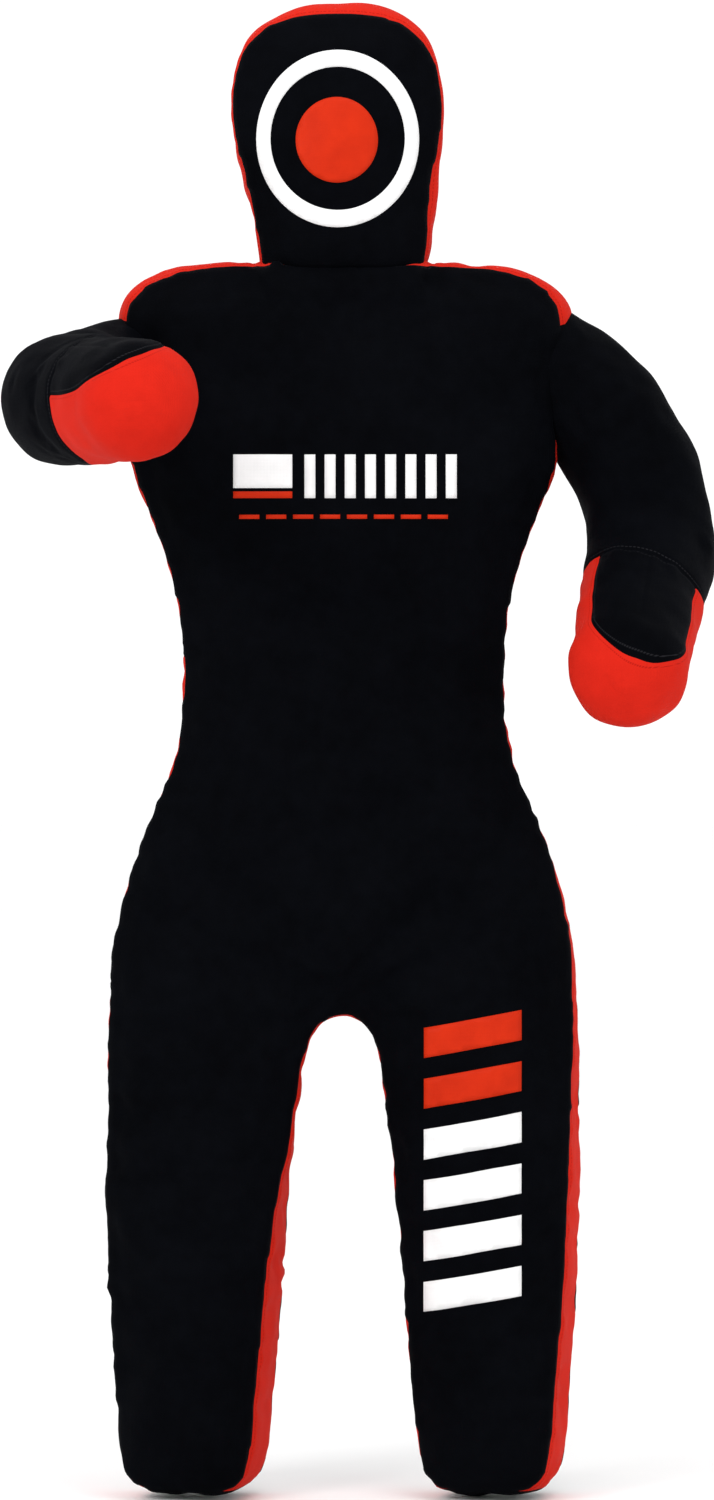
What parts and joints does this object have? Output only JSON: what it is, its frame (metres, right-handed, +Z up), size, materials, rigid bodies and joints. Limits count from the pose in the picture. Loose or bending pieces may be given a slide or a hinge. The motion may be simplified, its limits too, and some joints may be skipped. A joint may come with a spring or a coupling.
{
  "type": "grappling dummy",
  "caption": "Stuffed, human-shaped grappling dummy that stands on its soles, with arms held forward and soft joints that fold.",
  "frame": {"origin": "on the floor, midway between the two soles and midway through the trunk's depth", "axes": "+Z up along the body, -Y the way the face looks, +X the dummy's own left side"},
  "size_m": [0.837, 0.605, 1.8],
  "materials": {
    "black_cloth": "matt black heavy polyester canvas with a faint nap",
    "red_cloth": "matt bright red polyester canvas",
    "print_white": "flat white screen print",
    "print_red": "flat orange-red screen print",
    "stuffing": "grey textile shreds in a lining bag",
    "zip_tape": "black woven tape",
    "zip_teeth": "black moulded teeth",
    "zip_metal": "black enamelled zinc"
  },
  "bodies": {
    "chest": {"chest_filling": "stuffing", "chest_front_panel": "black_cloth", "chest_back_panel": "black_cloth", "chest_gussets": "red_cloth", "chest_print_white": "print_white", "chest_print_red": "print_red", "zip_tape": "zip_tape", "zip_teeth": "zip_teeth", "waist_sleeve": "black_cloth", "neck_sleeve": "black_cloth", "left_shoulder_sleeve": "black_cloth", "right_shoulder_sleeve": "black_cloth"},
    "zip_slider": {"zip_slider": "zip_metal"},
    "zip_puller": {"zip_puller": "zip_metal"},
    "pelvis": {"pelvis_filling": "stuffing", "pelvis_panels": "black_cloth", "pelvis_gussets": "red_cloth", "left_hip_sleeve": "black_cloth", "right_hip_sleeve": "black_cloth", "leg_print_red": "print_red"},
    "neck": {"neck_filling": "stuffing"},
    "head": {"head_filling": "stuffing", "head_front_panel": "black_cloth", "head_back_panel": "black_cloth", "head_gussets": "red_cloth", "head_target_ring": "print_white", "head_target_disc": "print_red"},
    "left_shoulder": {"left_shoulder_filling": "stuffing"},
    "left_upper_arm": {"left_upper_arm_filling": "stuffing", "left_upper_arm_cover": "black_cloth", "left_elbow_sleeve": "black_cloth"},
    "left_forearm": {"left_forearm_filling": "stuffing", "left_hand_back_panel": "black_cloth", "left_hand_palm_panel": "red_cloth"},
    "left_thigh": {"left_thigh_filling": "stuffing", "left_thigh_panels": "black_cloth", "left_thigh_gussets": "red_cloth", "left_knee_sleeve": "black_cloth", "leg_print_white": "print_white"},
    "left_shin": {"left_shin_filling": "stuffing", "left_shin_panels": "black_cloth", "left_shin_gussets": "red_cloth", "left_shin_sole": "black_cloth"},
    "right_shoulder": {"right_shoulder_filling": "stuffing"},
    "right_upper_arm": {"right_upper_arm_filling": "stuffing", "right_upper_arm_cover": "black_cloth", "right_elbow_sleeve": "black_cloth"},
    "right_forearm": {"right_forearm_filling": "stuffing", "right_hand_back_panel": "black_cloth", "right_hand_palm_panel": "red_cloth"},
    "right_thigh": {"right_thigh_filling": "stuffing", "right_thigh_panels": "black_cloth", "right_thigh_gussets": "red_cloth", "right_knee_sleeve": "black_cloth"},
    "right_shin": {"right_shin_filling": "stuffing", "right_shin_panels": "black_cloth", "right_shin_gussets": "red_cloth", "right_shin_sole": "black_cloth"}
  },
  "joints": [
    {"name": "waist_bend", "type": "hinge", "parent": "chest", "child": "pelvis", "pos_m": [0, 0, 1], "axis": [-1, 0, 0], "range_deg": [-15, 40], "stiffness_Nm_per_rad": 600, "deforming": ["waist_sleeve"]},
    {"name": "head_turn", "type": "hinge", "parent": "chest", "child": "neck", "pos_m": [0, 0, 1.484], "axis": [0, 0, 1], "range_deg": [-40, 40], "stiffness_Nm_per_rad": 40, "deforming": ["neck_sleeve"]},
    {"name": "head_nod", "type": "hinge", "parent": "neck", "child": "head", "pos_m": [0, 0, 1.5845], "axis": [1, 0, 0], "range_deg": [-20, 24], "stiffness_Nm_per_rad": 60},
    {"name": "left_shoulder_swing", "type": "hinge", "parent": "chest", "child": "left_shoulder", "pos_m": [0.285, 0, 1.345], "axis": [-1, 0, 0], "range_deg": [-40, 70], "stiffness_Nm_per_rad": 60, "deforming": ["left_shoulder_sleeve"]},
    {"name": "left_shoulder_spread", "type": "hinge", "parent": "left_shoulder", "child": "left_upper_arm", "pos_m": [0.285, 0, 1.345], "axis": [0, -0.9989, 0.046], "range_deg": [-3, 60], "stiffness_Nm_per_rad": 60},
    {"name": "left_elbow_bend", "type": "hinge", "parent": "left_upper_arm", "child": "left_forearm", "pos_m": [0.365, -0.01, 1.128], "axis": [-0.8891, 0.3044, -0.3418], "range_deg": [-50, 22], "stiffness_Nm_per_rad": 40, "deforming": ["left_elbow_sleeve"]},
    {"name": "left_hip_bend", "type": "hinge", "parent": "pelvis", "child": "left_thigh", "pos_m": [0.178, 0, 0.5], "axis": [-1, 0, 0], "range_deg": [-25, 70], "stiffness_Nm_per_rad": 400, "deforming": ["left_hip_sleeve", "leg_print_red"]},
    {"name": "left_knee_bend", "type": "hinge", "parent": "left_thigh", "child": "left_shin", "pos_m": [0.178, 0, 0.27], "axis": [1, 0, 0], "range_deg": [-8, 55], "stiffness_Nm_per_rad": 400, "deforming": ["left_knee_sleeve", "leg_print_white"]},
    {"name": "right_shoulder_swing", "type": "hinge", "parent": "chest", "child": "right_shoulder", "pos_m": [-0.285, 0, 1.345], "axis": [-1, 0, 0], "range_deg": [-42, 35], "stiffness_Nm_per_rad": 60, "deforming": ["right_shoulder_sleeve"]},
    {"name": "right_shoulder_spread", "type": "hinge", "parent": "right_shoulder", "child": "right_upper_arm", "pos_m": [-0.285, 0, 1.345], "axis": [0, 0.1532, -0.9882], "range_deg": [0, 50], "stiffness_Nm_per_rad": 60},
    {"name": "right_elbow_bend", "type": "hinge", "parent": "right_upper_arm", "child": "right_forearm", "pos_m": [-0.322, -0.2, 1.314], "axis": [-0.1571, -0.1228, 0.9799], "range_deg": [-18, 54], "stiffness_Nm_per_rad": 40, "deforming": ["right_elbow_sleeve"]},
    {"name": "right_hip_bend", "type": "hinge", "parent": "pelvis", "child": "right_thigh", "pos_m": [-0.178, 0, 0.5], "axis": [-1, 0, 0], "range_deg": [-25, 70], "stiffness_Nm_per_rad": 400, "deforming": ["right_hip_sleeve"]},
    {"name": "right_knee_bend", "type": "hinge", "parent": "right_thigh", "child": "right_shin", "pos_m": [-0.178, 0, 0.27], "axis": [1, 0, 0], "range_deg": [-8, 55], "stiffness_Nm_per_rad": 400, "deforming": ["right_knee_sleeve"]},
    {"name": "zip_slide", "type": "slide", "parent": "chest", "child": "zip_slider", "axis": [0, 0, -1], "range_m": [0, 0.24]},
    {"name": "zip_puller_flip", "type": "hinge", "parent": "zip_slider", "child": "zip_puller", "pos_m": [0, 0.0983, 1.373], "axis": [1, 0, 0], "range_deg": [0, 150]}
  ]
}
